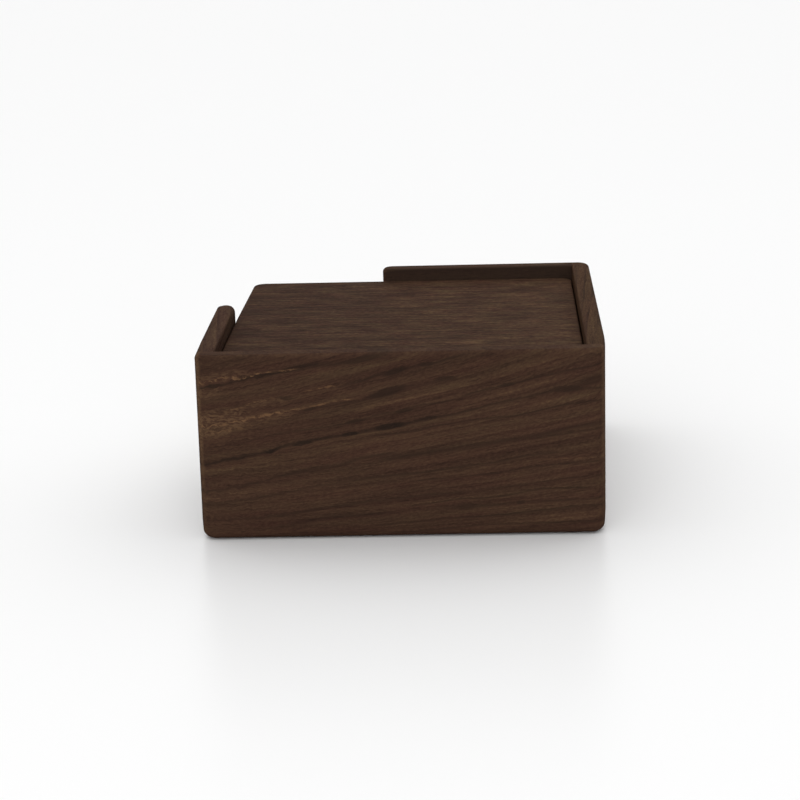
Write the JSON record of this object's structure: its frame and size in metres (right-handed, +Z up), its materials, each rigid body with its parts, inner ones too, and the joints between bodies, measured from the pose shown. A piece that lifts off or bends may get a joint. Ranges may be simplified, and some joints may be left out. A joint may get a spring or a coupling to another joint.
{
  "type": "memo holder",
  "caption": "Square wooden box for loose note paper, open at one corner for the fingers, with a loose cover plate lying on the paper just below the rim.",
  "frame": {"origin": "middle of the square footprint, on the desk", "axes": "+Z up; +Y towards the person who writes; the open corner is at -X +Y, which is that person's right-hand near corner; the picture is taken from -Y, behind the holder"},
  "size_m": [0.104, 0.104, 0.0488],
  "materials": {
    "walnut_wall": "dark walnut, oiled, satin",
    "walnut_base": "dark walnut, oiled, satin",
    "walnut_cover": "dark walnut, oiled, satin",
    "note_paper": "plain white loose paper, matt"
  },
  "bodies": {
    "holder": {"rear_wall": "walnut_wall", "long_side_wall": "walnut_wall", "short_side_wall": "walnut_wall", "short_front_wall": "walnut_wall", "base_board": "walnut_base"},
    "paper": {"memo_paper": "note_paper"},
    "cover": {"cover_plate": "walnut_cover"}
  },
  "joints": [
    {"name": "paper_lift", "type": "slide", "parent": "holder", "child": "paper", "axis": [0, 0, 1], "range_m": [0, 0.06]},
    {"name": "cover_lift", "type": "slide", "parent": "paper", "child": "cover", "axis": [0, 0, 1], "range_m": [0, 0.04]}
  ]
}
